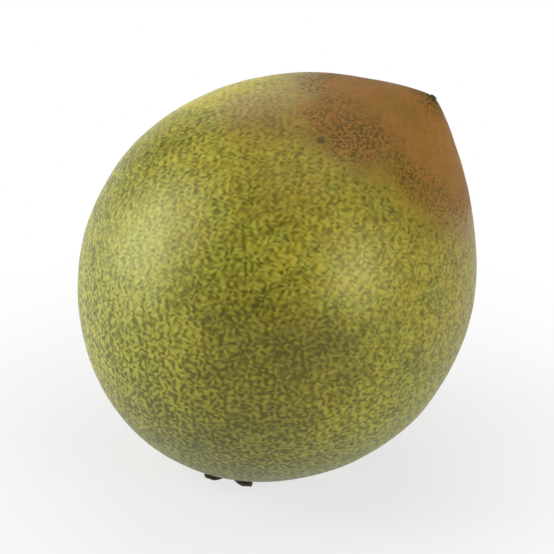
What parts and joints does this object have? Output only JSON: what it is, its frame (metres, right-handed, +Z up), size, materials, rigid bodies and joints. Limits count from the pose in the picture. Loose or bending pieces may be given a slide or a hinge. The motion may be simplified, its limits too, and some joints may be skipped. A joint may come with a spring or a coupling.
{
  "type": "lucuma",
  "caption": "Whole ripe lucuma: a round green fruit with a blunt russet point at the blossom end and a dry calyx at the stem end, lying on a small flat spot.",
  "frame": {"origin": "centre of the flat spot that the fruit rests on", "axes": "+Z up from the resting surface; the blossom end leans up towards +X, and the calyx sits low on the -Y side"},
  "size_m": [0.0817, 0.0803, 0.0835],
  "materials": {
    "skin": "smooth satin fruit skin, yellow-green with a fine dark olive mottle, and an orange-brown russet cap at the blossom end",
    "dry_calyx": "dry matt brown sepals and stalk"
  },
  "bodies": {
    "root": {"fruit": "skin", "stem_stub": "dry_calyx", "sepal_1": "dry_calyx", "sepal_2": "dry_calyx", "sepal_3": "dry_calyx", "sepal_4": "dry_calyx", "sepal_5": "dry_calyx"}
  },
  "joints": []
}
